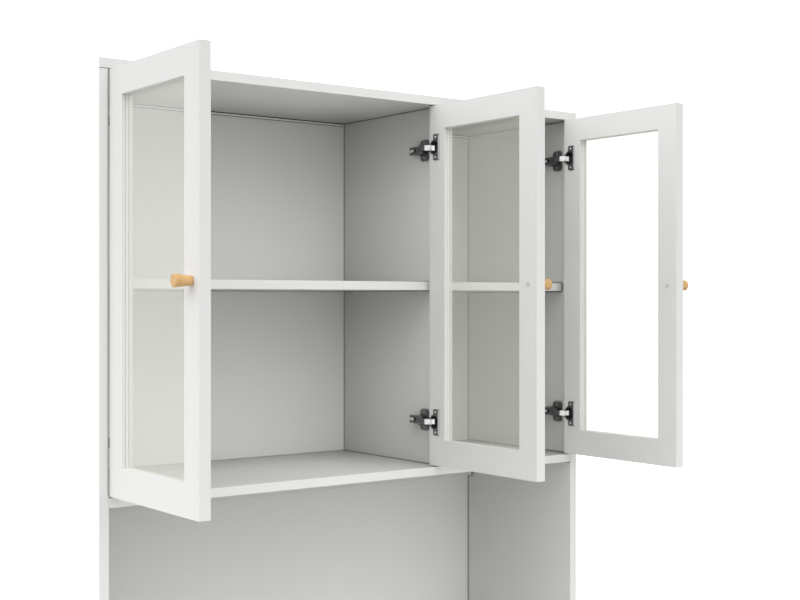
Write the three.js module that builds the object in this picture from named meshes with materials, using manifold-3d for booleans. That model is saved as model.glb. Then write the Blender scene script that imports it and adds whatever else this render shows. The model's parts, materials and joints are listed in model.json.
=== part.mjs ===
// Tall white bookcase: a glazed upper compartment closed by three inset doors,
// a full-width open bay below it, and two plain open bays above the plinth.
// The doors stand open at 90 degrees. Millimetres, +Z up, the front faces -Y.
// The origin is the middle of the front plinth's underside.

import * as THREE from 'three';
import { mergeVertices } from 'three/addons/utils/BufferGeometryUtils.js';
import Module from 'manifold-3d';

const wasm = await Module();
wasm.setup();

// Carcass
const outerWidth = 1000;
const outerHeight = 1800;
const outerDepth = 360;
const board = 16;
const glazedHeight = 682;
const openBayHeight = 360;
const plinthHeight = 80;
const plinthSetback = 2;
const rearPlinthInset = 30;
const dividerFromRight = 322;
const dividerSetback = 20;

// Back panels and the rail that stiffens them
const backThickness = 4;
const backInset = 6;
const grooveDepth = 5;
const backJoint = 1;
const backRailHeight = 60;

// Loose shelves and their pins
const shelfSetback = 25;
const shelfSideGap = 0.5;
const pinRadius = 2.5;
const pinLength = 14;
const pinHoleDepth = 7.4;
const pinFromEnd = 45;

// Doors
const doorThickness = 18;
const doorWidth = 318.5;
const doorTopGap = 1.5;
const doorBottomGap = 3;
const stileWidth = 48;
const topRailWidth = 45;
const bottomRailWidth = 49;
const glassThickness = 4;
const glassRecess = 6.5;
const glassEngagement = 6;
const leafStandoff = 18.2;
const middleStandoff = 18.9;
const openCornerDepth = -2.4;
const middleCornerDepth = 12.9;
const middleHingeGap = 4.5;

// Knobs
const knobLength = 28;
const knobFootRadius = 7.2;
const knobEndRadius = 10.1;
const knobRound = 1.6;
const knobFromEdge = 23;
const knobScrewRadius = 2;
const knobScrewReach = 14;
const screwHeadRadius = 3.2;
const screwHeadHeight = 1.6;

// Concealed hinges: the cup
const hingeFromBottom = 81.5;
const hingeFromTop = 79;
const cupRadius = 13.3;
const cupFromEdge = 16.8;
const cupDepth = 10.8;
const cupFloor = 0.9;
const cupWall = 0.8;
const notchFromEdge = 2.2;
const notchRearFromEdge = 28.2;
const notchHalfHeight = 6.6;
const flangeThickness = 1.2;
const flangeRim = 1.2;
const earReach = 24.5;
const earFront = 13.5;
const earRear = 33;
const earRound = 3;
const earHoleFromEdge = 20.5;
const earHoleSpacing = 38;
const earHoleRadius = 2.2;
const lugThickness = 1.5;
const lugRadius = 2.1;

// Concealed hinges: the link between arm and cup
const linkLength = 20.4;
const linkHalfHeight = 6.1;
const linkSheet = 1.3;
const linkArmRadius = 2.6;
const linkCupRadius = 2.3;
const linkHood = 3.6;
const linkHoodEnd = 12.5;
const cupPinFromEdge = 5;
const cupPinProud = 2.6;
const pivotRadius = 1.4;

// Concealed hinges: the arm and the plate it is screwed to
const armReach = 26.7;
const armPivotToPlate = 27;
const prongRadius = 1.9;
const prongStraight = 9;
const prongDrop = 12.5;
const armHalfHeight = 7.4;
const armSheet = 1;
const armTop = 13;
const armFront = 17;
const prongRoot = 4;
const armRear = 61.5;
const armSlotWidth = 5.4;
const armSlotLength = 14.5;
const adjusterAt = 31;
const adjusterRadius = 2.5;
const adjusterProud = 0.7;
const wingThickness = 2.8;
const wingReach = 19.2;
const wingWidth = 25;
const wingRound = 5;
const wingHoleFromTip = 5.5;
const wingHoleRadius = 2.6;
const saddleFront = 28;
const saddleRear = 52;
const lockScrewAt = 47.5;
const lockScrewRadius = 2.3;
const lockHeadRadius = 3.9;
const lockHeadHeight = 1.6;

// Clearances, the overrun of every cut, and how finely round forms are divided
const seat = 0.3;
const overrun = 1;
const roundSegments = 24;
const smallSegments = 14;
const cornerSegments = 5;

// Places worked out from the sizes above
const innerWidth = outerWidth - 2 * board;
const xLeft = -innerWidth / 2;
const xRight = innerWidth / 2;
const xDivider = xRight - dividerFromRight;
const yFront = -(plinthSetback + board / 2);
const yRear = yFront + outerDepth;
const yBackFace = yRear - backInset - backThickness;
const yDivider = yFront + dividerSetback;
const yShelf = yFront + shelfSetback;
const zTop = outerHeight - board;
const zFloor = zTop - glazedHeight;
const zBay = zFloor - board - openBayHeight;
const zBottom = plinthHeight + board;
const lowerHeight = (zBay - board - zBottom - board) / 2;
const zShelf = zFloor + (glazedHeight - board) / 2;
const zDoor = zFloor + doorBottomGap;
const doorHeight = glazedHeight - doorTopGap - doorBottomGap;
const doorGap = (innerWidth - 3 * doorWidth - middleHingeGap) / 3;
const hingeHeights = [zDoor + hingeFromBottom, zDoor + doorHeight - hingeFromTop];
const hingeNames = ['lower', 'upper'];

// Finishes
const white = { color: 0xe9e9e7, roughness: 0.55, metalness: 0 };
const doorWhite = { color: 0xeeeeec, roughness: 0.45, metalness: 0 };
const paleWood = { color: 0xd9a866, roughness: 0.5, metalness: 0 };
const blackNickel = { color: 0x26262a, roughness: 0.35, metalness: 0.9 };
const brightSteel = { color: 0xd8d8da, roughness: 0.2, metalness: 1 };
const clearGlass = { color: 0xe6efe9, roughness: 0.03, metalness: 0 };

const cabinet = new THREE.Group();

// A closed geometry as a solid that can be cut and joined
function solid(geometry) {
  const bare = geometry.index ? geometry.toNonIndexed() : geometry.clone();
  bare.deleteAttribute('normal');
  bare.deleteAttribute('uv');
  const merged = mergeVertices(bare);
  const corners = merged.index.array;
  const triVerts = [];
  for (let i = 0; i < corners.length; i += 3) {
    const [a, b, c] = corners.slice(i, i + 3);
    if (a !== b && b !== c && c !== a) triVerts.push(a, b, c);
  }
  return new wasm.Manifold(new wasm.Mesh({
    numProp: 3,
    vertProperties: new Float32Array(merged.attributes.position.array),
    triVerts: new Uint32Array(triVerts),
  }));
}

// A named mesh of a solid, in its own finish
function addPiece(parent, name, shape, finish) {
  const body = shape.getMesh();
  const geometry = new THREE.BufferGeometry();
  geometry.setAttribute('position', new THREE.BufferAttribute(body.vertProperties, body.numProp));
  geometry.setIndex(new THREE.BufferAttribute(body.triVerts, 1));
  geometry.computeVertexNormals();
  const mesh = new THREE.Mesh(geometry, new THREE.MeshStandardMaterial(finish));
  mesh.name = name;
  parent.add(mesh);
  return mesh;
}

// A block between two limits on each axis
function block([x0, x1], [y0, y1], [z0, z1]) {
  const geometry = new THREE.BoxGeometry(x1 - x0, y1 - y0, z1 - z0);
  geometry.translate((x0 + x1) / 2, (y0 + y1) / 2, (z0 + z1) / 2);
  return solid(geometry);
}

// A plan outline raised from z0 to z1
function prism(outline, z0, z1, segments = cornerSegments) {
  const settings = { depth: z1 - z0, bevelEnabled: false, curveSegments: segments };
  const geometry = new THREE.ExtrudeGeometry(outline, settings);
  geometry.translate(0, 0, z0);
  return solid(geometry);
}

// A round rod along x, y or z, from one end to the other
function rod(axis, radius, from, to, [x, y, z], segments = smallSegments) {
  const geometry = new THREE.CylinderGeometry(radius, radius, to - from, segments);
  const middle = (from + to) / 2;
  if (axis === 'x') geometry.rotateZ(Math.PI / 2).translate(middle, y, z);
  if (axis === 'y') geometry.translate(x, middle, z);
  if (axis === 'z') geometry.rotateX(Math.PI / 2).translate(x, y, middle);
  return solid(geometry);
}

// A rectangle with rounded corners, as an outline
function roundedOutline([x0, x1], [y0, y1], radius) {
  const outline = new THREE.Shape();
  const quarter = Math.PI / 2;
  outline.absarc(x1 - radius, y1 - radius, radius, 0, quarter);
  outline.absarc(x0 + radius, y1 - radius, radius, quarter, 2 * quarter);
  outline.absarc(x0 + radius, y0 + radius, radius, 2 * quarter, 3 * quarter);
  outline.absarc(x1 - radius, y0 + radius, radius, 3 * quarter, 4 * quarter);
  outline.closePath();
  return outline;
}

// The places of a loose shelf's pins, front and back
function pinRows() {
  const shelfDepth = yBackFace - seat - yShelf;
  return { front: yShelf + pinFromEnd, back: yShelf + shelfDepth - pinFromEnd };
}

const zPin = zShelf + pinRadius + seat;

// Blind holes for the shelf pins in an upright whose face is at x
function pinHoles(x, inward) {
  const ends = inward > 0 ? [x - overrun, x + pinHoleDepth] : [x - pinHoleDepth, x + overrun];
  const holes = Object.values(pinRows()).map((y) =>
    rod('x', pinRadius + seat, ends[0], ends[1], [0, y, zPin]));
  return wasm.Manifold.union(holes);
}

// The groove that holds the edge of the back panels
function backGroove(xs, zs) {
  return block(xs, [yBackFace - seat, yBackFace + backThickness + seat], zs);
}

// Side panels run from the ground to the top panel, which lies over them
function addSidePanel(name, xInner, outward) {
  const xOuter = xInner + outward * board;
  const xs = [Math.min(xInner, xOuter), Math.max(xInner, xOuter)];
  const grooveTo = xInner + outward * grooveDepth;
  const grooveFrom = xInner - outward * overrun;
  const grooveXs = [Math.min(grooveTo, grooveFrom), Math.max(grooveTo, grooveFrom)];
  const panel = block(xs, [yFront, yRear], [0, zTop])
    .subtract(backGroove(grooveXs, [plinthHeight, zTop + overrun]))
    .subtract(pinHoles(xInner, outward));
  addPiece(cabinet, name, panel, white);
}

function addTopPanel() {
  const xs = [-outerWidth / 2, outerWidth / 2];
  const groove = backGroove([xLeft - grooveDepth, xRight + grooveDepth], [zTop - overrun, zTop + grooveDepth]);
  const panel = block(xs, [yFront, yRear], [zTop, outerHeight]).subtract(groove);
  addPiece(cabinet, 'top_panel', panel, white);
}

// The divider stands back so that the closed doors pass in front of it
function addDivider() {
  const panel = block([xDivider, xDivider + board], [yDivider, yBackFace - seat], [zFloor, zTop])
    .subtract(pinHoles(xDivider, 1))
    .subtract(pinHoles(xDivider + board, -1));
  addPiece(cabinet, 'divider', panel, white);
}

// A fixed board between the side panels
function addFixedBoard(name, zUnder) {
  const panel = block([xLeft, xRight], [yFront, yBackFace - seat], [zUnder, zUnder + board]);
  addPiece(cabinet, name, panel, white);
}

function addBackPanels() {
  const xs = [xLeft - grooveDepth + seat, xRight + grooveDepth - seat];
  const ys = [yBackFace, yBackFace + backThickness];
  const zJoint = zFloor - board / 2;
  const upper = block(xs, ys, [zJoint + backJoint / 2, zTop + grooveDepth - seat]);
  const lower = block(xs, ys, [plinthHeight + seat, zJoint - backJoint / 2]);
  addPiece(cabinet, 'back_panel_upper', upper, white);
  addPiece(cabinet, 'back_panel_lower', lower, white);
}

// The rail under the glazed compartment, against the back panel
function addBackRail() {
  const ys = [yBackFace - seat - board, yBackFace - seat];
  const zs = [zFloor - board - backRailHeight, zFloor - board];
  addPiece(cabinet, 'back_rail', block([xLeft, xRight], ys, zs), white);
}

function addPlinths() {
  const frontYs = [-board / 2, board / 2];
  const rearYs = [yBackFace - rearPlinthInset - board, yBackFace - rearPlinthInset];
  addPiece(cabinet, 'plinth_front', block([xLeft, xRight], frontYs, [0, plinthHeight]), white);
  addPiece(cabinet, 'plinth_rear', block([xLeft, xRight], rearYs, [0, plinthHeight]), white);
}

// A loose shelf hangs on four pins hidden in slots in its ends
function addLooseShelf(name, xFrom, xTo) {
  const xs = [xFrom + shelfSideGap, xTo - shelfSideGap];
  let shelf = block(xs, [yShelf, yBackFace - seat], [zShelf, zShelf + board]);
  const slotTop = zPin + pinRadius + seat;
  const slotHalf = pinRadius + seat;
  for (const [row, y] of Object.entries(pinRows())) {
    for (const [side, x, inward] of [['left', xFrom, 1], ['right', xTo, -1]]) {
      const slotEnd = x + inward * pinHoleDepth;
      const slotXs = [Math.min(x - inward * overrun, slotEnd), Math.max(x - inward * overrun, slotEnd)];
      shelf = shelf.subtract(block(slotXs, [y - slotHalf, y + slotHalf], [zShelf - overrun, slotTop]));
      const pin = rod('x', pinRadius, x - pinLength / 2, x + pinLength / 2, [0, y, zPin]);
      addPiece(cabinet, `pin_${name}_${row}_${side}`, pin, brightSteel);
    }
  }
  addPiece(cabinet, `shelf_${name}`, shelf, white);
}

// Plan places on a hinge side are given as [reach, y]: reach runs from the face
// of the upright into the opening, and hand is 1 where the upright is on the
// right of its door and -1 where it is on the left.
function plan(hand, reach, y) {
  return new THREE.Vector2(-hand * reach, y);
}

// An outline through plan places, closed
function planOutline(hand, places) {
  return new THREE.Shape(places.map(([reach, y]) => plan(hand, reach, y)));
}

// Limits along x of a stretch given by its reach
function reachLimits(hand, from, to) {
  const ends = [-hand * from, -hand * to];
  return [Math.min(...ends), Math.max(...ends)];
}

// Where the cup pin and the arm pivot of an open door lie, and the way the
// link points between them. The corner depth runs from the front plane of the
// cabinet back to the hinge corner of the leaf.
function hingePlan(standoff, cornerDepth) {
  const pinRest = [standoff + cupPinProud, cornerDepth - cupPinFromEdge];
  const restSide = armReach - pinRest[0];
  const restDepth = Math.sqrt(linkLength ** 2 - restSide ** 2);
  return { pinRest, pivotY: pinRest[1] + restDepth, restAngle: -Math.atan2(restDepth, restSide) };
}

// The three doors from left to right
const doors = [
  { name: 'left', hand: -1, xUpright: xLeft, ...hingePlan(leafStandoff, openCornerDepth) },
  { name: 'middle', hand: 1, xUpright: xDivider, ...hingePlan(middleStandoff, middleCornerDepth) },
  { name: 'right', hand: 1, xUpright: xRight, ...hingePlan(leafStandoff, openCornerDepth) },
];

// The door frame is cut from one board, with a groove for the glass. Door
// geometry is drawn closed, with reach 0 at the hinge edge and y 0 at the
// outer face.
function addDoorFrame(leaf, door) {
  const { hand } = door;
  const windowReach = [stileWidth, doorWidth - stileWidth];
  const windowZs = [zDoor + bottomRailWidth, zDoor + doorHeight - topRailWidth];
  const grooveXs = reachLimits(hand, windowReach[0] - glassEngagement, windowReach[1] + glassEngagement);
  const grooveZs = [windowZs[0] - glassEngagement, windowZs[1] + glassEngagement];
  let frame = block(reachLimits(hand, 0, doorWidth), [0, doorThickness], [zDoor, zDoor + doorHeight])
    .subtract(block(reachLimits(hand, ...windowReach), [-overrun, doorThickness + overrun], windowZs))
    .subtract(block(grooveXs, [glassRecess - seat, glassRecess + glassThickness + seat], grooveZs));
  const cupBottom = doorThickness - cupDepth;
  for (const z of hingeHeights) {
    const cupHole = rod('y', cupRadius + seat, cupBottom - seat, doorThickness + overrun,
      [-hand * cupFromEdge, 0, z], roundSegments);
    frame = frame.subtract(cupHole);
  }
  const screwHole = rod('y', knobScrewRadius + seat, -overrun, doorThickness + overrun,
    [-hand * (doorWidth - knobFromEdge), 0, zDoor + doorHeight / 2]);
  addPiece(leaf, `door_frame_${door.name}`, frame.subtract(screwHole), doorWhite);
}

function addDoorGlass(leaf, door) {
  const held = glassEngagement - seat;
  const xs = reachLimits(door.hand, stileWidth - held, doorWidth - stileWidth + held);
  const zs = [zDoor + bottomRailWidth - held, zDoor + doorHeight - topRailWidth + held];
  const pane = block(xs, [glassRecess, glassRecess + glassThickness], zs);
  addPiece(leaf, `door_glass_${door.name}`, pane, clearGlass);
}

// A turned knob that widens outwards, bored for its screw
function addKnob(leaf, door) {
  const outline = new THREE.Path();
  const boreDepth = knobScrewReach + seat;
  outline.moveTo(knobScrewRadius + seat, 0);
  outline.lineTo(knobFootRadius - knobRound / 2, 0);
  outline.quadraticCurveTo(knobFootRadius, 0, knobFootRadius, knobRound / 2);
  outline.lineTo(knobEndRadius, knobLength - knobRound);
  outline.quadraticCurveTo(knobEndRadius, knobLength, knobEndRadius - knobRound, knobLength);
  outline.lineTo(0, knobLength);
  outline.lineTo(0, boreDepth);
  outline.lineTo(knobScrewRadius + seat, boreDepth);
  outline.closePath();
  const points = outline.getPoints(cornerSegments);
  const knob = new THREE.LatheGeometry(points, roundSegments);
  const mesh = addPiece(leaf, `knob_${door.name}`, solid(knob.rotateX(Math.PI)), paleWood);
  mesh.position.set(-door.hand * (doorWidth - knobFromEdge), -seat, zDoor + doorHeight / 2);
}

function addKnobScrew(leaf, door) {
  const x = -door.hand * (doorWidth - knobFromEdge);
  const z = zDoor + doorHeight / 2;
  const headFrom = doorThickness + seat;
  const shank = rod('y', knobScrewRadius, -knobScrewReach, headFrom + overrun, [x, 0, z]);
  const head = rod('y', screwHeadRadius, headFrom, headFrom + screwHeadHeight, [x, 0, z], roundSegments);
  addPiece(leaf, `knob_screw_${door.name}`, shank.add(head), brightSteel);
}

// An outline in x and z, raised along y about the height z. It is symmetric
// about its middle, so it may be turned over.
function facePlate(outline, y0, y1, z, segments = cornerSegments) {
  const settings = { depth: y1 - y0, bevelEnabled: false, curveSegments: segments };
  const geometry = new THREE.ExtrudeGeometry(outline, settings);
  return solid(geometry.rotateX(-Math.PI / 2).translate(0, y0, z));
}

// An outline in y and z, raised from an upright's face into the opening
function wallPlate(hand, outline, thickness) {
  const settings = { depth: thickness, bevelEnabled: false, curveSegments: cornerSegments };
  const geometry = new THREE.ExtrudeGeometry(outline, settings);
  const turn = new THREE.Matrix4().makeBasis(
    new THREE.Vector3(0, 1, 0), new THREE.Vector3(0, 0, -hand), new THREE.Vector3(-hand, 0, 0));
  return solid(geometry.applyMatrix4(turn));
}

// The flange that lies on the door: a rim round the cup and two screwed ears
function hingeFlange(hand, y0, y1, z) {
  const ears = roundedOutline(reachLimits(hand, earFront, earRear), [-earReach, earReach], earRound);
  const rim = rod('y', cupRadius + flangeRim, y0, y1, [-hand * cupFromEdge, 0, z], roundSegments);
  const lugHalf = notchHalfHeight + lugThickness;
  const lugFoot = block(reachLimits(hand, cupPinFromEdge - lugRadius, cupFromEdge), [y0, y1],
    [z - lugHalf, z + lugHalf]);
  let flange = rim.add(facePlate(ears, y0, y1, z)).add(lugFoot);
  for (const side of [-1, 1]) {
    const hole = rod('y', earHoleRadius, y0 - overrun, y1 + overrun,
      [-hand * earHoleFromEdge, 0, z + side * earHoleSpacing / 2]);
    flange = flange.subtract(hole);
  }
  return flange;
}

// Two lugs stand on the flange and carry the pin of the link
function hingeLugs(hand, y0, z) {
  const x = -hand * cupPinFromEdge;
  const y = doorThickness + cupPinProud;
  const inner = notchHalfHeight;
  const outer = notchHalfHeight + lugThickness;
  const lugs = [[-outer, -inner], [inner, outer]].map(([from, to]) => {
    const round = rod('z', lugRadius, z + from, z + to, [x, y, 0]);
    const foot = block([x - lugRadius, x + lugRadius], [y0, y], [z + from, z + to]);
    return round.add(foot);
  });
  const pin = rod('z', pivotRadius, z - outer, z + outer, [x, y, 0]);
  return wasm.Manifold.union([...lugs, pin]);
}

// The cup: a flanged pot with a pocket that takes the folded link
function addHingeCup(leaf, door, z, label) {
  const { hand } = door;
  const y0 = doorThickness + seat;
  const y1 = y0 + flangeThickness;
  const bottom = doorThickness - cupDepth;
  const centre = [-hand * cupFromEdge, 0, z];
  const pot = rod('y', cupRadius, bottom, y1, centre, roundSegments);
  const pocket = rod('y', cupRadius - cupWall, bottom + cupFloor, y1 + overrun, centre, roundSegments);
  const notch = block(reachLimits(hand, notchFromEdge, notchRearFromEdge), [y0 - overrun, y1 + overrun],
    [z - notchHalfHeight, z + notchHalfHeight]);
  const body = pot.add(hingeFlange(hand, y0, y1, z)).subtract(wasm.Manifold.union([pocket, notch]));
  const open = body.add(hingeLugs(hand, y0, z));
  addPiece(leaf, `hinge_cup_${door.name}_${label}`, open, blackNickel);
}

// The link is a hooded strap of folded sheet. It is drawn from its arm pivot
// along x to its cup pivot, with the hood on the side that faces the room.
function addHingeLink(parent, door, z, label) {
  const side = door.hand;
  const outline = new THREE.Shape();
  const turn = Math.PI / 2;
  outline.absarc(0, 0, linkArmRadius, side * turn, side * 3 * turn, side < 0);
  outline.lineTo(0, -side * linkHood);
  outline.lineTo(linkHoodEnd, -side * linkHood);
  outline.absarc(linkLength, 0, linkCupRadius, -side * turn, side * turn, side < 0);
  outline.closePath();
  const hoodInside = side * (linkSheet - linkHood);
  const beyond = side * (linkHood + overrun);
  const insideYs = [Math.min(hoodInside, beyond), Math.max(hoodInside, beyond)];
  const cheek = linkHalfHeight - linkSheet;
  const inside = block([-linkLength, 2 * linkLength], insideYs, [-cheek, cheek]);
  const boreEnd = linkHalfHeight + overrun;
  const bore = rod('z', pivotRadius + seat, -boreEnd, boreEnd, [linkLength, 0, 0]);
  const strap = prism(outline, -linkHalfHeight, linkHalfHeight, smallSegments)
    .subtract(inside)
    .subtract(bore);
  const link = addPiece(parent, `hinge_link_${door.name}_${label}`, strap, brightSteel);
  link.position.set(door.xUpright - side * armReach, yFront + door.pivotY, z);
  link.rotation.z = side > 0 ? door.restAngle : Math.PI - door.restAngle;
}

// The two prongs at the front of the arm, cranked out to straddle the link
function armProngs(hand) {
  const drop = prongStraight + prongDrop;
  const inner = armTop - 2 * prongRadius;
  const outline = planOutline(hand, [
    [armReach + prongRadius, 0],
    [armReach + prongRadius, prongStraight],
    [armTop, drop],
    [armTop, drop + prongRoot],
    [inner, drop + prongRoot],
    [inner, drop - prongRadius],
    [armReach - prongRadius, prongStraight - prongRadius],
    [armReach - prongRadius, 0],
  ]);
  const inside = armHalfHeight - armSheet;
  const prongs = [[-armHalfHeight, -inside], [inside, armHalfHeight]].map(([from, to]) =>
    prism(outline, from, to).add(rod('z', prongRadius, from, to, [-hand * armReach, 0, 0])));
  return wasm.Manifold.union(prongs);
}

// The channel of the arm, open towards the upright and slotted at its rear
function armChannel(hand) {
  const cheekFoot = wingThickness + seat;
  const ys = [armFront, armRear];
  const shell = block(reachLimits(hand, cheekFoot, armTop), ys, [-armHalfHeight, armHalfHeight]);
  const insideHalf = armHalfHeight - armSheet;
  const inside = block(reachLimits(hand, 0, armTop - armSheet), [armFront - overrun, armRear + overrun],
    [-insideHalf, insideHalf]);
  const slotFront = armRear - armSlotLength;
  const slotXs = reachLimits(hand, armTop - armSheet - overrun, armTop + overrun);
  const slotHalf = armSlotWidth / 2;
  const slot = block(slotXs, [slotFront, armRear + overrun], [-slotHalf, slotHalf])
    .add(rod('x', slotHalf, ...slotXs, [0, slotFront, 0]));
  return shell.subtract(inside).subtract(slot);
}

function addHingeArm(parent, door, z, label) {
  const { hand } = door;
  const adjusterXs = reachLimits(hand, armTop - armSheet, armTop + adjusterProud);
  const adjuster = rod('x', adjusterRadius, ...adjusterXs, [0, adjusterAt, 0]);
  const arm = armProngs(hand).add(armChannel(hand)).add(adjuster);
  const piece = addPiece(parent, `hinge_arm_${door.name}_${label}`, arm, blackNickel);
  piece.position.set(door.xUpright, yFront + door.pivotY, z);
}

// The mounting plate: two screwed wings, a saddle inside the arm's channel,
// and the locking screw that stands in the arm's slot
function addHingePlate(parent, door, z, label) {
  const { hand } = door;
  const wingYs = [armPivotToPlate - wingWidth / 2, armPivotToPlate + wingWidth / 2];
  const wings = wallPlate(hand, roundedOutline(wingYs, [-wingReach, wingReach], wingRound), wingThickness);
  const saddleHalf = armHalfHeight - armSheet - seat;
  const saddleZs = [-saddleHalf, saddleHalf];
  const saddleTop = armTop - armSheet - seat;
  const strip = block(reachLimits(hand, 0, wingThickness), [armPivotToPlate, saddleRear], saddleZs);
  const saddle = block(reachLimits(hand, 0, saddleTop), [saddleFront, saddleRear], saddleZs);
  const headFoot = armTop + seat;
  const shank = rod('x', lockScrewRadius, ...reachLimits(hand, saddleTop - overrun, headFoot + overrun),
    [0, lockScrewAt, 0]);
  const head = rod('x', lockHeadRadius, ...reachLimits(hand, headFoot, headFoot + lockHeadHeight),
    [0, lockScrewAt, 0]);
  let plate = wasm.Manifold.union([wings, strip, saddle, shank, head]);
  for (const side of [-1, 1]) {
    const height = side * (wingReach - wingHoleFromTip);
    const holeXs = reachLimits(hand, -overrun, wingThickness + overrun);
    plate = plate.subtract(rod('x', wingHoleRadius, ...holeXs, [0, armPivotToPlate, height]));
  }
  const piece = addPiece(parent, `hinge_plate_${door.name}_${label}`, plate, blackNickel);
  piece.position.set(door.xUpright, yFront + door.pivotY, z);
}

// A door leaf, drawn closed, is turned to stand open at a right angle with
// its cup pins on the ends of the links
function addDoor(door) {
  const leaf = new THREE.Group();
  const { hand } = door;
  const quarterTurn = hand * Math.PI / 2;
  const pinDrawn = new THREE.Vector3(-hand * cupPinFromEdge, doorThickness + cupPinProud, 0);
  const [pinReach, pinY] = door.pinRest;
  const pinPlace = new THREE.Vector3(door.xUpright - hand * pinReach, yFront + pinY, 0);
  leaf.rotation.z = quarterTurn;
  leaf.position.copy(pinPlace).sub(pinDrawn.applyAxisAngle(new THREE.Vector3(0, 0, 1), quarterTurn));
  addDoorFrame(leaf, door);
  addDoorGlass(leaf, door);
  addKnob(leaf, door);
  addKnobScrew(leaf, door);
  hingeHeights.forEach((z, i) => {
    addHingeCup(leaf, door, z, hingeNames[i]);
    addHingeLink(cabinet, door, z, hingeNames[i]);
    addHingeArm(cabinet, door, z, hingeNames[i]);
    addHingePlate(cabinet, door, z, hingeNames[i]);
  });
  cabinet.add(leaf);
}

addTopPanel();
addSidePanel('side_panel_left', xLeft, -1);
addSidePanel('side_panel_right', xRight, 1);
addDivider();
addFixedBoard('compartment_floor', zFloor - board);
addFixedBoard('bay_shelf', zBay - board);
addFixedBoard('lower_shelf', zBottom + lowerHeight);
addFixedBoard('bottom_panel', plinthHeight);
addBackPanels();
addBackRail();
addPlinths();
addLooseShelf('wide', xLeft, xDivider);
addLooseShelf('narrow', xDivider + board, xRight);
doors.forEach(addDoor);

export default cabinet;
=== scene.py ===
import json
import math

import bmesh
import bpy
import numpy as np
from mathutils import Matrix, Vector


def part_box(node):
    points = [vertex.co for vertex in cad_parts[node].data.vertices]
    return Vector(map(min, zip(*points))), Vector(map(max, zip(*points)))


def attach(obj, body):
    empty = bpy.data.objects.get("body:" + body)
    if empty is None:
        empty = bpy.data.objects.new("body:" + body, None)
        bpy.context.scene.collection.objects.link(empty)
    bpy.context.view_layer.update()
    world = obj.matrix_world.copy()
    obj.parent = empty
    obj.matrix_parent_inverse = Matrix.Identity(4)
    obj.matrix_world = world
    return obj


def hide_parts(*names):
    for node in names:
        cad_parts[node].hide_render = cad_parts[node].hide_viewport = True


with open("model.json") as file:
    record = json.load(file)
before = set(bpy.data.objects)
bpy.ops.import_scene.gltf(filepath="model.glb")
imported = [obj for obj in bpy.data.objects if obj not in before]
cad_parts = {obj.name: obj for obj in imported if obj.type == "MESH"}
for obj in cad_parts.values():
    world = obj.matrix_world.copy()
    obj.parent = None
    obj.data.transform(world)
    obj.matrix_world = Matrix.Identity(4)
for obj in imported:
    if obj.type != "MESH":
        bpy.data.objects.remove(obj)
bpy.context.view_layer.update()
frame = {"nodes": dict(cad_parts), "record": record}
nodes = frame["nodes"]
scene = bpy.context.scene

# Carcass boards: white faced chipboard 16 mm thick, sawn square, edged and
# fixed with hidden dowels. The edges are broken by hand, most on the left
# side. Painted shade darkens the white in the inner corners.
BOARD_EASE = 0.0006
LEFT_SIDE_EASE = 0.0013
BOARD_ROUNDS = 3
BOARD_WHITE = (0.71, 0.71, 0.695)
TOP_WHITE = (0.715, 0.715, 0.70)
MOTTLE, GRAIN_POLISH, CREASE_POWER = 0.985, 0.05, 2.2
WELD_DISTANCE, FLAT_ANGLE = 1e-5, 0.5


def new_finish(name):
    """A material, with its node tree and its surface node."""
    finish = bpy.data.materials.new(name)
    finish.use_nodes = True
    return finish, finish.node_tree, finish.node_tree.nodes["Principled BSDF"]


def feed(tree, node, inputs):
    """Wires each named input to the socket, or sets it to the value, given for it."""
    for key, value in inputs.items():
        if isinstance(value, bpy.types.NodeSocket):
            tree.links.new(value, node.inputs[key])
        else:
            node.inputs[key].default_value = value


def add_node(tree, kind, inputs=None, **settings):
    """A shader node of the kind, with its settings and its inputs filled in."""
    node = tree.nodes.new("ShaderNode" + kind)
    for key, value in settings.items():
        setattr(node, key, value)
    feed(tree, node, inputs or {})
    return node


def multiplied(tree, share, color, by):
    """The colour, brought towards its product with another colour by the share.
    The two colours and the result have these places among the node's sockets."""
    first, second, result = 6, 7, 2
    mix = add_node(tree, "Mix", data_type="RGBA", blend_type="MULTIPLY")
    feed(tree, mix, {"Factor": share, first: color, second: by})
    return mix.outputs[result]


def color_ramp(tree, place, *stops):
    """The colour at a place between two stops, each a position with a colour."""
    ramp = add_node(tree, "ValToRGB", {"Fac": place})
    for element, (position, color) in zip(ramp.color_ramp.elements, stops):
        element.position = position
        element.color = (*color, 1)
    return ramp.outputs["Color"]


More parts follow.
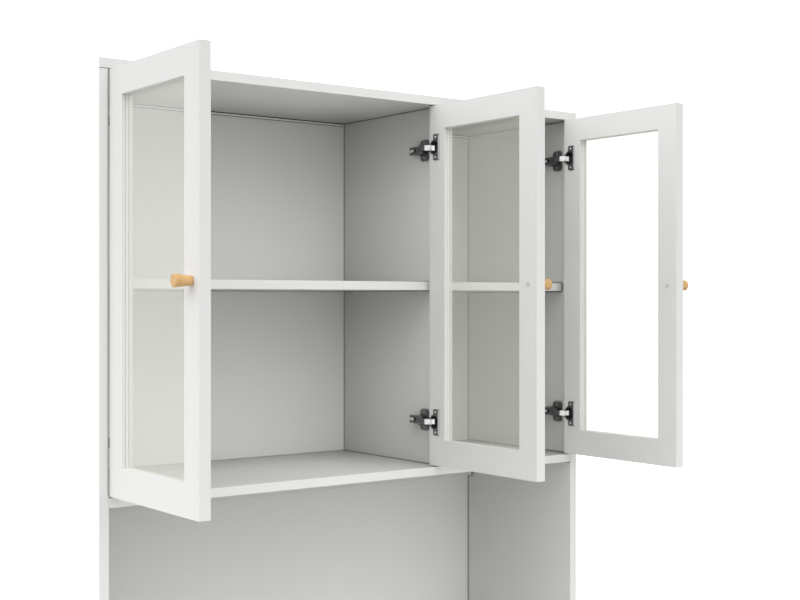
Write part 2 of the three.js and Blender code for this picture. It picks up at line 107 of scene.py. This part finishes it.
def board_finish(name, color, crease_reach, rough=0.5, relief=0.15, crease_shade=0.95, alone=False,
                 shade=0.0, shade_reach=0.0):
    """A sheet with fine grain and a faint mottling, and painted shade. In creases
    the colour is multiplied by a power of the open share of the sky, and a
    wider painted shade multiplies it again on the faces that don't look to the
    front or back."""
    finish, tree, surface = new_finish(name)
    place = add_node(tree, "TexCoord").outputs["Object"]
    fine = add_node(tree, "TexNoise", {"Vector": place, "Scale": 900, "Detail": 3}).outputs["Fac"]
    broad = add_node(tree, "TexNoise", {"Vector": place, "Scale": 5, "Detail": 2}).outputs["Fac"]
    duller = tuple(MOTTLE * part for part in color)
    white = color_ramp(tree, broad, (0.3, duller), (0.7, color))
    sky = add_node(tree, "AmbientOcclusion", {"Distance": crease_reach}, samples=12,
                   only_local=alone)
    deepened = add_node(tree, "Math", {0: sky.outputs["AO"], 1: CREASE_POWER}, operation="POWER")
    white = multiplied(tree, crease_shade, white, deepened.outputs["Value"])
    if shade:
        normal = add_node(tree, "NewGeometry").outputs["Normal"]
        forward = add_node(tree, "SeparateXYZ", {"Vector": normal}).outputs["Y"]
        size = add_node(tree, "Math", {0: forward}, operation="ABSOLUTE").outputs["Value"]
        aside = add_node(tree, "Math", {0: size, 1: 0.5}, operation="LESS_THAN").outputs["Value"]
        share = add_node(tree, "Math", {0: aside, 1: shade}, operation="MULTIPLY").outputs["Value"]
        wide = add_node(tree, "AmbientOcclusion", {"Distance": shade_reach}, samples=8,
                        only_local=alone)
        white = multiplied(tree, share, white, wide.outputs["AO"])
    polish = add_node(tree, "MapRange", {"Value": fine, "To Min": rough - GRAIN_POLISH,
                                         "To Max": rough + GRAIN_POLISH})
    bump = add_node(tree, "Bump", {"Height": fine, "Strength": relief, "Distance": 0.0002})
    feed(tree, surface, {"Base Color": white, "Roughness": polish.outputs["Result"],
                         "Normal": bump.outputs["Normal"], "Specular IOR Level": 0.4})
    return finish


body_of = {name: body for body, names in frame["record"]["behaviour"]["bodies"].items()
           for name in names}


def put_in_scene(name, mesh, finish):
    """An object at the origin, whose mesh holds its place."""
    mesh.materials.append(finish)
    piece = bpy.data.objects.new(name, mesh)
    scene.collection.objects.link(piece)
    return piece


def ease(name, finish, width, segments=2, limit=40):
    """A copy of a CAD node, which stands for it. Loose triangles are merged and
    joined to flat faces. Edges that turn by more than the limit are rounded
    to the width, and all others are shaded smooth."""
    nodes[name].data.materials.clear()
    nodes[name].data.materials.append(finish)
    mesh = nodes[name].data.copy()
    mesh.materials.clear()
    if "custom_normal" in mesh.attributes:
        mesh.attributes.remove(mesh.attributes["custom_normal"])
    sharp = math.radians(limit)
    bm = bmesh.new()
    bm.from_mesh(mesh)
    bmesh.ops.remove_doubles(bm, verts=bm.verts, dist=WELD_DISTANCE)
    bmesh.ops.dissolve_limit(bm, angle_limit=math.radians(FLAT_ANGLE), verts=bm.verts,
                             edges=bm.edges)
    for face in bm.faces:
        face.smooth = True
    for edge in bm.edges:
        edge.smooth = len(edge.link_faces) == 2 and edge.calc_face_angle(0) < sharp
    bm.to_mesh(mesh)
    bm.free()
    piece = put_in_scene("eased_" + name, mesh, finish)
    bevel = piece.modifiers.new("bevel", "BEVEL")
    bevel.width, bevel.segments = width, segments
    bevel.limit_method, bevel.angle_limit = "ANGLE", sharp
    piece.modifiers.new("normals", "WEIGHTED_NORMAL").keep_sharp = False
    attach(piece, body_of[name])
    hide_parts(name)
    return piece


# Painted shade: every board darkens in its inner corners, and the floor, the divider and the top
# darken again, more widely, on faces that don't look to the front or back.
white_board = board_finish("white board", BOARD_WHITE, 0.005)
floor_board = board_finish("white floor board", BOARD_WHITE, 0.003, shade=0.56,
                           shade_reach=0.16)
upright_board = board_finish("white upright board", BOARD_WHITE, 0.003, shade=0.3,
                             shade_reach=0.16)
top_board = board_finish("white top board", TOP_WHITE, 0.0035, shade=0.62, shade_reach=0.22)
for name in ("side_panel_right", "bottom_panel", "bay_shelf", "lower_shelf", "back_rail",
             "plinth_front", "plinth_rear", "shelf_wide", "shelf_narrow"):
    ease(name, white_board, BOARD_EASE, BOARD_ROUNDS)
ease("side_panel_left", white_board, LEFT_SIDE_EASE, BOARD_ROUNDS)
ease("compartment_floor", floor_board, BOARD_EASE, BOARD_ROUNDS)
ease("divider", upright_board, BOARD_EASE, BOARD_ROUNDS)
ease("top_panel", top_board, BOARD_EASE, BOARD_ROUNDS)

# Joint of the top and the sides: the top lies on the ends of the two side
# boards. On the front, the shadow in the seam between them is painted as a fine dark bar.
SEAM_TOP, SEAM_BOTTOM = 0.0002, 0.0009
SEAM_PROUD, SEAM_DEPTH = 0.0001, 0.001
SEAM_FROM_OUTSIDE, SEAM_FROM_INSIDE = 0.0004, 0.0002
CREASE_REACH = 0.004
BRIGHTEST_POLISH, DULLEST_POLISH = 0.75, 1.3
SAME_PLACE = 1e-7


def smooth_finish(name, color, rough, metallic, crease_shade):
    """Metal or lacquer with an uneven polish, and painted shade: the colour is
    multiplied by the open share of the sky close by, as far as the given share says."""
    finish, tree, surface = new_finish(name)
    place = add_node(tree, "TexCoord").outputs["Object"]
    smear = add_node(tree, "TexNoise", {"Vector": place, "Scale": 260, "Detail": 4}).outputs["Fac"]
    polish = add_node(tree, "MapRange", {"Value": smear, "To Min": BRIGHTEST_POLISH * rough,
                                         "To Max": DULLEST_POLISH * rough})
    sky = add_node(tree, "AmbientOcclusion", {"Distance": CREASE_REACH}, samples=8)
    bump = add_node(tree, "Bump", {"Height": smear, "Strength": 0.06, "Distance": 0.0001})
    feed(tree, surface, {"Base Color": multiplied(tree, crease_shade, (*color, 1), sky.outputs["AO"]),
                         "Roughness": polish.outputs["Result"], "Metallic": metallic,
                         "Normal": bump.outputs["Normal"]})
    return finish


def carried(name, parts, finish, body, loop=False, smooth=False):
    """Closed outlines carried along paths: in each part rings[i, k] is point k
    of the outline at stop i. Four-sided faces join each stop to the next one,
    and a face closes either end, unless the path is a loop."""
    places, faces = [], []
    for rings in parts:
        stops, points = rings.shape[:2]
        here = len(places) + np.arange(stops * points).reshape(stops, points)
        onward = np.roll(here, -1, axis=0)
        sides = np.stack([here, np.roll(here, -1, axis=1), np.roll(onward, -1, axis=1), onward],
                         axis=-1)
        faces += sides[:stops if loop else stops - 1].reshape(-1, 4).tolist()
        if not loop:
            faces += [here[0, ::-1].tolist(), here[-1].tolist()]
        places += rings.reshape(-1, 3).tolist()
    mesh = bpy.data.meshes.new(name)
    mesh.from_pydata(places, [], faces)
    bm = bmesh.new()
    bm.from_mesh(mesh)
    bmesh.ops.remove_doubles(bm, verts=bm.verts, dist=SAME_PLACE)
    bmesh.ops.recalc_face_normals(bm, faces=bm.faces)
    for face in bm.faces:
        face.smooth = smooth and len(face.verts) <= 4
    bm.to_mesh(mesh)
    bm.free()
    piece = put_in_scene(name, mesh, finish)
    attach(piece, body)
    return piece


def bar(name, corner, opposite, finish, body, ease_width=0.0):
    """A box: its outline in x and y at the lower height, carried to the upper one."""
    (x0, y0, z0), (x1, y1, z1) = np.minimum(corner, opposite), np.maximum(corner, opposite)
    outline = np.array([(x0, y0), (x1, y0), (x1, y1), (x0, y1)])
    rings = np.stack([np.column_stack([outline, np.full(4, z)]) for z in (z0, z1)])
    piece = carried(name, [rings], finish, body)
    if ease_width:
        bevel = piece.modifiers.new("bevel", "BEVEL")
        bevel.width, bevel.segments = ease_width, 2
    return piece


# Near black, painted as shadow in seams, gaps and recesses.
painted_shadow = smooth_finish("painted recess shadow", (0.01, 0.01, 0.012), rough=0.7, metallic=0.0, crease_shade=0.0)
seam_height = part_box("side_panel_left")[1].z
front_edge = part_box("side_panel_left")[0].y
for side in ("left", "right"):
    low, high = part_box("side_panel_" + side)
    bar("top_joint_shadow_" + side,
        (low.x + SEAM_FROM_OUTSIDE, front_edge - SEAM_PROUD, seam_height - SEAM_BOTTOM),
        (high.x - SEAM_FROM_INSIDE, front_edge + SEAM_DEPTH, seam_height - SEAM_TOP),
        painted_shadow, "carcass")

# Back panels: thin white faced fibreboard, slid into grooves, with painted
# shade in their inner corners. Under the top, three strips lie on the face of
# the upper one: a painted shadow for the gap below the top, a painted
# highlight for the lit white edge under it, and a fine painted shadow line
# that parts the edge from the face.
BACK_EASE = 0.0004
BACK_GAP_SHADOW = (0.0001, 0.0014)
BACK_ARRIS_HIGHLIGHT = (0.0018, 0.0049)
BACK_LINE_SHADOW = (0.0050, 0.0057)
STRIP_THICKNESS = 0.0007
STRIP_CLEARANCE = 0.0002

thin_board = board_finish("white back board", (0.76, 0.76, 0.742), 0.003, rough=0.6,
                          relief=0.1, crease_shade=0.7)
# White for the glass seals, and a painted highlight for the lit top edge of the back panel.
white_seal_and_painted_highlight = smooth_finish("white seal and painted highlight", (0.93, 0.93, 0.92), rough=0.6, metallic=0.0, crease_shade=0.0)
for name in ("back_panel_upper", "back_panel_lower"):
    ease(name, thin_board, BACK_EASE)
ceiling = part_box("top_panel")[0].z
strip_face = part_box("back_panel_upper")[0].y - STRIP_CLEARANCE
for bay, left, right in (("wide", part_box("side_panel_left")[1].x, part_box("divider")[0].x),
                         ("narrow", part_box("divider")[1].x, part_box("side_panel_right")[0].x)):
    for name, (top, bottom), finish in (("back_gap", BACK_GAP_SHADOW, painted_shadow),
                                        ("back_arris", BACK_ARRIS_HIGHLIGHT, white_seal_and_painted_highlight),
                                        ("back_line", BACK_LINE_SHADOW, painted_shadow)):
        bar(f"{name}_{bay}", (left + STRIP_CLEARANCE, strip_face, ceiling - bottom),
            (right - STRIP_CLEARANCE, strip_face - STRIP_THICKNESS, ceiling - top),
            finish, "carcass")

# Shelf pins: short bright steel pegs in blind holes of the uprights, four to
# each loose shelf, turned and with their ends broken. On round pieces like
# these, edges count as sharp from a smaller angle on.
PIN_EASE = 0.0003
ROUND_LIMIT = 30

# Painted shade darkens the bright steel a little in its creases.
bright_steel = smooth_finish("bright steel", (0.96, 0.96, 0.95), rough=0.3, metallic=0.12,
                             crease_shade=0.2)
for name in nodes:
    if name.startswith("pin_"):
        ease(name, bright_steel, PIN_EASE, limit=ROUND_LIMIT)

# Hinge arms and their mounting plates: pressed steel in dark nickel, two to a
# door, with painted shade in their creases. Two countersunk screws hold the
# wings of each plate to the upright, and a bright locking screw and an
# adjuster sit in the arm. The adjuster's recess is drawn as a near black
# block of painted shadow.
HINGE_EASE = 0.00025
HINGE_HEIGHTS = {"lower": 1.1865, "upper": 1.7035}
OPEN_DOORS = {
    "left": {"upright": -0.484, "hand": -1, "gap": 0.0002, "corner": -0.0124, "pivot": 0.00213},
    "middle": {"upright": 0.162, "hand": 1, "gap": 0.0009, "corner": 0.0029, "pivot": 0.01763},
    "right": {"upright": 0.484, "hand": 1, "gap": 0.0002, "corner": -0.0124, "pivot": 0.00213},
}
WING_FACE, WING_SCREW_AT, WING_SCREW_HEIGHT = 0.0028, 0.027, 0.0137
WING_SCREW_RADIUS, WING_SCREW_RISE = 0.0035, 0.0016
LOCK_SCREW_FACE, LOCK_SCREW_AT = 0.0150, 0.0475
LOCK_SCREW_RADIUS, LOCK_SCREW_RISE = 0.0024, 0.0008
ADJUSTER_FACES = (0.0128, 0.0134)
ADJUSTER_ENDS = (0.0393, 0.0433)
ADJUSTER_HALF_HEIGHT = 0.0025
SMALL_EASE = 0.0002
SCREW_SIDES = 24
SCREW_PROFILE = np.array([(1.0, -0.8), (1.0, 0.0), (0.96, 0.25), (0.82, 0.6), (0.55, 0.82),
                          (0.3, 0.74), (0.0, -0.1)])
CROSSED_RINGS = np.array([0, 0, 0, 0, 1, 1, 0])
CROSS_DEPTH, CROSS_POWER = 0.75, 8


def on_upright(door, reach, back, height):
    """A place by an upright: out from its face by the reach, and back from the arm's pivot."""
    set_out = OPEN_DOORS[door]
    across = set_out["upright"] - set_out["hand"] * reach
    return np.array([across, set_out["pivot"] + back, height])


def screw_head(name, at, door, radius, rise, finish, body):
    """A low dome turned from a profile of radius and height, which faces into
    the opening. The inner rings are sunk by the eighth power of the cosine of
    twice the angle, which presses a cross into the middle."""
    angle = np.linspace(0, 2 * math.pi, SCREW_SIDES, endpoint=False)
    across = radius * SCREW_PROFILE[:, :1]
    dent = CROSS_DEPTH * CROSSED_RINGS[:, None] * np.cos(2 * angle) ** CROSS_POWER
    rings = np.stack([across * np.cos(angle), across * np.sin(angle),
                      rise * (SCREW_PROFILE[:, 1:] - dent)], axis=-1)
    facing = Vector((-OPEN_DOORS[door]["hand"], 0, 0)).to_track_quat("Z", "Y").to_matrix()
    return carried(name, [at + rings @ np.array(facing).T], finish, body, smooth=True)


# Painted shade darkens the dark nickel fully, and the smoked steel by half, in their creases.
dark_nickel = smooth_finish("dark nickel", (0.18, 0.18, 0.185), rough=0.36, metallic=0.85,
                            crease_shade=1.0)
smoked_steel = smooth_finish("smoked steel", (0.33, 0.33, 0.335), rough=0.35, metallic=0.85,
                             crease_shade=0.5)
hinges = [(door, level, z) for door in OPEN_DOORS for level, z in HINGE_HEIGHTS.items()]
for door, level, z in hinges:
    tag = f"{door}_{level}"
    ease("hinge_arm_" + tag, dark_nickel, HINGE_EASE, limit=ROUND_LIMIT)
    ease("hinge_plate_" + tag, dark_nickel, HINGE_EASE, limit=ROUND_LIMIT)
    for side, end in ((-1, "low"), (1, "high")):
        seat = on_upright(door, WING_FACE, WING_SCREW_AT, z + side * WING_SCREW_HEIGHT)
        screw_head(f"wing_screw_{tag}_{end}", seat, door, WING_SCREW_RADIUS, WING_SCREW_RISE,
                   smoked_steel, "carcass")
    screw_head("lock_screw_" + tag, on_upright(door, LOCK_SCREW_FACE, LOCK_SCREW_AT, z), door,
               LOCK_SCREW_RADIUS, LOCK_SCREW_RISE, bright_steel, "carcass")
    bar("adjuster_recess_shadow_" + tag,
        on_upright(door, ADJUSTER_FACES[0], ADJUSTER_ENDS[0], z - ADJUSTER_HALF_HEIGHT),
        on_upright(door, ADJUSTER_FACES[1], ADJUSTER_ENDS[1], z + ADJUSTER_HALF_HEIGHT),
        painted_shadow, "carcass", SMALL_EASE)

# Door frames: board 18 mm thick, cut out for the glass and grooved, then
# lacquered white all over.
FRAME_EASE = 0.0004

# Painted shade darkens the lacquer a little in the frame's own creases.
door_lacquer = board_finish("door lacquer", (0.73, 0.73, 0.72), 0.003, rough=0.42,
                            relief=0.06, crease_shade=0.12, alone=True)
for door in OPEN_DOORS:
    ease("door_frame_" + door, door_lacquer, FRAME_EASE)

# Door glass: clear float glass 4 mm thick with a faint green cast and a thin
# haze of dust, slid into the groove. It mirrors more at a low angle.
GLASS_EASE = 0.0005
GLASS_INDEX = 1.5
GLASS_HAZE = 0.185

glass, tree, mirror = new_finish("glass")
feed(tree, mirror, {"Base Color": (1, 1, 1, 1), "Metallic": 1.0, "Roughness": 0.0})
clear = add_node(tree, "BsdfTransparent", {"Color": (0.985, 0.99, 0.97, 1)})
dust = add_node(tree, "BsdfDiffuse", {"Color": (0.85, 0.85, 0.79, 1)})
veiled = add_node(tree, "MixShader", {"Fac": GLASS_HAZE, 1: clear.outputs["BSDF"],
                                      2: dust.outputs["BSDF"]})
from_inside = add_node(tree, "NewGeometry").outputs["Backfacing"]
index = add_node(tree, "MapRange", {"Value": from_inside, "To Min": GLASS_INDEX,
                                    "To Max": 1 / GLASS_INDEX})
slant = add_node(tree, "Fresnel", {"IOR": index.outputs["Result"]})
pane = add_node(tree, "MixShader", {"Fac": slant.outputs["Fac"], 1: veiled.outputs["Shader"],
                                    2: mirror.outputs["BSDF"]})
feed(tree, tree.nodes["Material Output"], {"Surface": pane.outputs["Shader"]})
for door in OPEN_DOORS:
    ease("door_glass_" + door, glass, GLASS_EASE, 1)

# Glazing seal: a white gasket in the groove, which runs round each pane from
# near its edge to the reveal of the frame.
SEAL_THINNER = 0.0003
SEAL_OUTER_INSET, SEAL_INNER_INSET = 0.0008, 0.00565

for door in OPEN_DOORS:
    low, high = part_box("door_glass_" + door)
    left, right = low.x + SEAL_THINNER, high.x - SEAL_THINNER
    section = np.array([(left, SEAL_OUTER_INSET), (left, SEAL_INNER_INSET),
                        (right, SEAL_INNER_INSET), (right, SEAL_OUTER_INSET)])
    corners = np.array([(low.y, low.z), (high.y, low.z), (high.y, high.z), (low.y, high.z)])
    inwards = np.array([(1, 1), (-1, 1), (-1, -1), (1, -1)])
    rings = np.empty((4, 4, 3))
    rings[:, :, 0] = section[:, 0]
    rings[:, :, 1:] = corners[:, None] + inwards[:, None] * section[:, 1:]
    carried("glass_seal_" + door, [rings], white_seal_and_painted_highlight, "door_" + door, loop=True)

# Knobs: pale wood turned to a cone that widens outwards, with the grain along
# its axis, sanded and oiled. A satin steel screw holds each from inside.
KNOB_EASE = 0.0003

wood, tree, surface = new_finish("pale wood")
place = add_node(tree, "TexCoord").outputs["Object"]
along = add_node(tree, "Mapping", {"Vector": place, "Scale": (30, 260, 260)}).outputs["Vector"]
grain = add_node(tree, "TexNoise", {"Vector": along, "Scale": 3, "Detail": 5, "Roughness": 0.6})
color = color_ramp(tree, grain.outputs["Fac"], (0.35, (0.52, 0.29, 0.095)),
                   (0.68, (0.75, 0.51, 0.235)))
feed(tree, surface, {"Base Color": color, "Roughness": 0.42})
# Painted shade darkens the satin steel a little in its creases.
satin_steel = smooth_finish("satin steel", (0.68, 0.68, 0.67), rough=0.5, metallic=0.5, crease_shade=0.2)
for door in OPEN_DOORS:
    ease("knob_" + door, wood, KNOB_EASE, limit=ROUND_LIMIT)
    ease("knob_screw_" + door, satin_steel, KNOB_EASE, limit=ROUND_LIMIT)

# Hinge cups: pressed steel in dark nickel, let into the door. The inside of
# the pocket is painted near black as shadow, and a bright spring leaf lies
# in it in two bands on the hinge side. Two bright screws hold the ears; a
# light steel bar along their far edge is a painted reflection, with a little
# painted shade in its creases.
CUP_AXIS = 0.0168
POCKET_MIDDLE, POCKET_HALF_DEPTH, POCKET_RADIUS = 0.0129, 0.0050, 0.0126
SPRING_BANDS = ((0.0098, 0.0157), (0.0162, 0.0174))
SPRING_OUTSIDE, SPRING_INSIDE = 0.01244, 0.01228
SPRING_TURN, SPRING_STOPS = 0.39, 9
EAR_SCREW_ALONG, EAR_FACE, EAR_SCREW_HEIGHT = 0.0205, 0.0192, 0.019
EAR_SCREW_RADIUS, EAR_SCREW_RISE = 0.00205, 0.0008
RIM_ALONG, RIM_INWARD, RIM_HALF_HEIGHT = (0.0288, 0.0332), (0.0184, 0.0197), 0.0232


def on_leaf(door, along, inward, height):
    """A place by an open leaf: along it from its hinge edge, inward from its outer face."""
    set_out = OPEN_DOORS[door]
    across = set_out["upright"] - set_out["hand"] * (set_out["gap"] + inward)
    return np.stack(np.broadcast_arrays(across, set_out["corner"] - along, height), axis=-1)


def spring_leaf(name, door, z):
    """A thin strip of two bands. Each is a rectangle of radius and depth,
    carried round part of a circle about the cup's axis."""
    turn = np.linspace(-SPRING_TURN, SPRING_TURN, SPRING_STOPS)[:, None]
    radius = np.array([SPRING_OUTSIDE, SPRING_OUTSIDE, SPRING_INSIDE, SPRING_INSIDE])
    along, up = CUP_AXIS - radius * np.cos(turn), z + radius * np.sin(turn)
    bands = [on_leaf(door, along, np.array([low, high, high, low]), up)
             for low, high in SPRING_BANDS]
    return carried(name, bands, bright_steel, "door_" + door)


painted_reflection_steel = smooth_finish("painted rim reflection", (0.7, 0.7, 0.69), rough=0.45, metallic=0.5, crease_shade=0.2)
for door, level, z in hinges:
    tag, body = f"{door}_{level}", "door_" + door
    cup = ease("hinge_cup_" + tag, dark_nickel, HINGE_EASE, limit=ROUND_LIMIT)
    # The faces inside the pocket take the near black painted shadow.
    cup.data.materials.append(painted_shadow)
    centers = np.empty(3 * len(cup.data.polygons))
    cup.data.polygons.foreach_get("center", centers)
    off = centers.reshape(-1, 3) - on_leaf(door, CUP_AXIS, POCKET_MIDDLE, z)
    inside = abs(off[:, 0]) < POCKET_HALF_DEPTH
    inside &= np.hypot(off[:, 1], off[:, 2]) < POCKET_RADIUS
    cup.data.polygons.foreach_set("material_index", inside.astype(np.int32))
    spring_leaf("cup_leaf_" + tag, door, z)
    # A light steel bar along the ears' far edge, as a painted reflection.
    bar("ear_rim_reflection_" + tag, on_leaf(door, RIM_ALONG[0], RIM_INWARD[0], z - RIM_HALF_HEIGHT),
        on_leaf(door, RIM_ALONG[1], RIM_INWARD[1], z + RIM_HALF_HEIGHT),
        painted_reflection_steel, body, SMALL_EASE)
    for side, end in ((-1, "low"), (1, "high")):
        seat = on_leaf(door, EAR_SCREW_ALONG, EAR_FACE, z + side * EAR_SCREW_HEIGHT)
        screw_head(f"ear_screw_{tag}_{end}", seat, door, EAR_SCREW_RADIUS, EAR_SCREW_RISE,
                   bright_steel, body)

# Hinge links: folded bright steel straps between arm and cup. Where they lie
# between the arm's prongs they are painted dark nickel as shade. Each is drawn
# a little lower than its node and with a longer hood, and turns on a bright
# roller on the cup's pin.
ARM_REACH = 0.0267
CUP_PIN_ALONG, CUP_PIN_INWARD = 0.005, 0.0206
PAINTED_SHADE_LENGTH = 0.0098
HOOD_END, HOOD_END_WITHIN, HOOD_LONGER = 0.0125, 0.0003, 0.002
LINK_HEIGHT_SHARE = 0.8
ROLLER_RADIUS, ROLLER_LENGTH, ROLLER_SIDES = 0.0022, 0.0070, 32

for door, level, z in hinges:
    tag = f"{door}_{level}"
    mesh = ease("hinge_link_" + tag, bright_steel, HINGE_EASE, limit=ROUND_LIMIT).data
    pin = on_leaf(door, CUP_PIN_ALONG, CUP_PIN_INWARD, z)
    start = on_upright(door, ARM_REACH, 0, z)
    toward = (pin - start) / np.linalg.norm(pin - start)
    places = np.empty(3 * len(mesh.vertices))
    mesh.vertices.foreach_get("co", places)
    places = places.reshape(-1, 3)
    at_hood_end = abs((places - start) @ toward - HOOD_END) < HOOD_END_WITHIN
    places[at_hood_end] += HOOD_LONGER * toward
    places[:, 2] = z + LINK_HEIGHT_SHARE * (places[:, 2] - z)
    mesh.vertices.foreach_set("co", places.ravel())
    bm = bmesh.new()
    bm.from_mesh(mesh)
    cut, toward = Vector(start + PAINTED_SHADE_LENGTH * toward), Vector(toward)
    everything = bm.verts[:] + bm.edges[:] + bm.faces[:]
    bmesh.ops.bisect_plane(bm, geom=everything, plane_co=cut, plane_no=toward)
    # The faces before the cut take dark nickel, as painted shade between the prongs.
    for face in bm.faces:
        face.material_index = int((face.calc_center_median() - cut).dot(toward) < 0)
    bm.to_mesh(mesh)
    bm.free()
    mesh.materials.append(dark_nickel)
    turn = np.linspace(0, 2 * math.pi, ROLLER_SIDES, endpoint=False)
    circle = ROLLER_RADIUS * np.stack([np.cos(turn), np.sin(turn), 0 * turn], axis=-1)
    ends = np.array([[(0, 0, -ROLLER_LENGTH / 2)], [(0, 0, ROLLER_LENGTH / 2)]])
    carried("link_bushing_" + tag, [pin + circle + ends], bright_steel, "links_" + door,
            smooth=True)

# Floor: a pale round sheet under the cabinet, which fades out into the white
# around it.
FLOOR_RADIUS, FLOOR_SIDES = 3.4, 96
FLOOR_CENTRE = np.array([0, 0.17, -0.0004])
FADE_FROM, FADE_TO = 1.3, 3.3

paper, tree, surface = new_finish("floor")
feed(tree, surface, {"Base Color": (0.8, 0.8, 0.795, 1), "Roughness": 0.8})
place = add_node(tree, "TexCoord").outputs["Object"]
away = add_node(tree, "VectorMath", {0: place, 1: tuple(FLOOR_CENTRE)}, operation="DISTANCE")
fade = add_node(tree, "MapRange", {"Value": away.outputs["Value"], "From Min": FADE_FROM,
                                   "From Max": FADE_TO}, interpolation_type="SMOOTHSTEP")
gone = add_node(tree, "BsdfTransparent")
faded = add_node(tree, "MixShader", {"Fac": fade.outputs["Result"], 1: surface.outputs["BSDF"],
                                     2: gone.outputs["BSDF"]})
feed(tree, tree.nodes["Material Output"], {"Surface": faded.outputs["Shader"]})
turn = np.linspace(0, 2 * math.pi, FLOOR_SIDES, endpoint=False)
rim = FLOOR_CENTRE + FLOOR_RADIUS * np.stack([np.cos(turn), np.sin(turn), 0 * turn], axis=-1)
mesh = bpy.data.meshes.new("floor")
mesh.from_pydata(rim.tolist(), [], [list(range(FLOOR_SIDES))])
put_in_scene("floor", mesh, paper)

# Studio: soft light from six sides, each a lobe that falls off with a power of
# the cosine. Metal, glass and the camera see plain white instead.
LOBES = (  # azimuth and height in degrees, sharpness, strength
    (-90, 40, 6, 2.5), (-45, 40, 6, 0.93), (0, 5, 6, 1.18),
    (0, 40, 6, 1.97), (-140, 20, 4, 1.2), (140, 20, 4, 2.3))
REFLECTED_WHITE, SEEN_WHITE = 1.0, 1.6

world = bpy.data.worlds.new("studio")
scene.world = world
world.use_nodes = True
tree = world.node_tree
toward_sky = add_node(tree, "TexCoord").outputs["Generated"]
total = None
for azimuth, height, sharpness, strength in LOBES:
    around, up = math.radians(azimuth), math.radians(height)
    center = (math.sin(around) * math.cos(up), -math.cos(around) * math.cos(up), math.sin(up))
    lobe = add_node(tree, "VectorMath", {0: toward_sky, 1: center}, operation="DOT_PRODUCT")
    lobe = lobe.outputs["Value"]
    for operation, value in (("MAXIMUM", 0), ("POWER", sharpness), ("MULTIPLY", strength)):
        lobe = add_node(tree, "Math", {0: lobe, 1: value}, operation=operation).outputs["Value"]
    if total is not None:
        lobe = add_node(tree, "Math", {0: total, 1: lobe}, operation="ADD").outputs["Value"]
    total = lobe
soft = tree.nodes["Background"]
feed(tree, soft, {"Color": (1, 1, 1, 1), "Strength": total})
reflected, seen = (add_node(tree, "Background", {"Color": (1, 1, 1, 1), "Strength": strength})
                   for strength in (REFLECTED_WHITE, SEEN_WHITE))
rays = add_node(tree, "LightPath")
by_metal_or_glass = add_node(tree, "Math", {0: rays.outputs["Is Glossy Ray"],
                                            1: rays.outputs["Is Transmission Ray"]},
                             operation="MAXIMUM")
mirrored = add_node(tree, "MixShader", {"Fac": by_metal_or_glass.outputs["Value"],
                                        1: soft.outputs["Background"],
                                        2: reflected.outputs["Background"]})
straight = add_node(tree, "MixShader", {"Fac": rays.outputs["Is Camera Ray"],
                                        1: mirrored.outputs["Shader"],
                                        2: seen.outputs["Background"]})
feed(tree, tree.nodes["World Output"], {"Surface": straight.outputs["Shader"]})

# Lamps: the photo shows the left side washed out and lifts some inner faces,
# so each of these lights only the pieces that are named for it.
cup_leaves = tuple(f"cup_leaf_{door}_{level}" for door, level, _ in hinges)
LAMPS = (  # name, place, aim, size, watts, pieces
    ("wash", (-2.2, 0.17, 1.1), (-0.5, 0.17, 1.1), (0.34, 2.0), 19,
     ("eased_side_panel_left", "eased_top_panel")),
    ("fill", (-0.16, -0.25, 1.45), (-0.16, 0.2, 1.45), (0.6, 0.15), 0.24,
     ("eased_top_panel", "eased_compartment_floor")),
    ("lift", (0.2, -0.17, 1.45), (0.48, -0.17, 1.45), (0.15, 0.6), 0.07,
     ("eased_door_frame_right",)),
    ("bounce", (-0.1, -0.2, 1.52), (0.15, 0.05, 1.52), (0.15, 0.4), 0.13,
     ("eased_divider",)),
    ("spark", (-0.9, -1.8, 1.6), (0.15, -0.02, 1.45), (0.3, 0.3), 40, cup_leaves))

for name, place, aim, size, watts, lit in LAMPS:
    light = bpy.data.lights.new(name, "AREA")
    light.shape = "RECTANGLE"
    light.size, light.size_y = size
    light.energy = watts
    lamp = bpy.data.objects.new(name, light)
    scene.collection.objects.link(lamp)
    lamp.location = place
    lamp.rotation_euler = (Vector(aim) - Vector(place)).to_track_quat("-Z", "Y").to_euler()
    lamp.visible_camera = False
    pieces = bpy.data.collections.new("lit by " + name)
    for piece in lit:
        pieces.objects.link(bpy.data.objects[piece])
    lamp.light_linking.receiver_collection = pieces

# Camera: level, to the left of the cabinet, at the photo's angle, with its lens
# shifted as the photo's crop is. Lengths in the picture are in pixels.
PICTURE_WIDTH, PICTURE_HEIGHT = 800, 600
FOCAL_LENGTH, LENS_CENTRE = 1349.487, (546.805, 299.943)
SENSOR_WIDTH = 36
CAMERA_PLACE, CAMERA_TURN = (-1.32525, -2.09501, 1.41637), -39.953
NEAREST, FARTHEST = 0.01, 60

camera = bpy.data.objects.new("camera", bpy.data.cameras.new("camera"))
scene.collection.objects.link(camera)
camera.location = CAMERA_PLACE
camera.rotation_euler = (math.radians(90), 0, math.radians(CAMERA_TURN))
camera.data.sensor_fit = "HORIZONTAL"
camera.data.sensor_width = SENSOR_WIDTH
camera.data.lens = SENSOR_WIDTH * FOCAL_LENGTH / PICTURE_WIDTH
camera.data.shift_x = (PICTURE_WIDTH / 2 - LENS_CENTRE[0]) / PICTURE_WIDTH
camera.data.shift_y = (LENS_CENTRE[1] - PICTURE_HEIGHT / 2) / PICTURE_WIDTH
camera.data.clip_start = NEAREST
camera.data.clip_end = FARTHEST
scene.camera = camera
scene.view_settings.view_transform = "Standard"
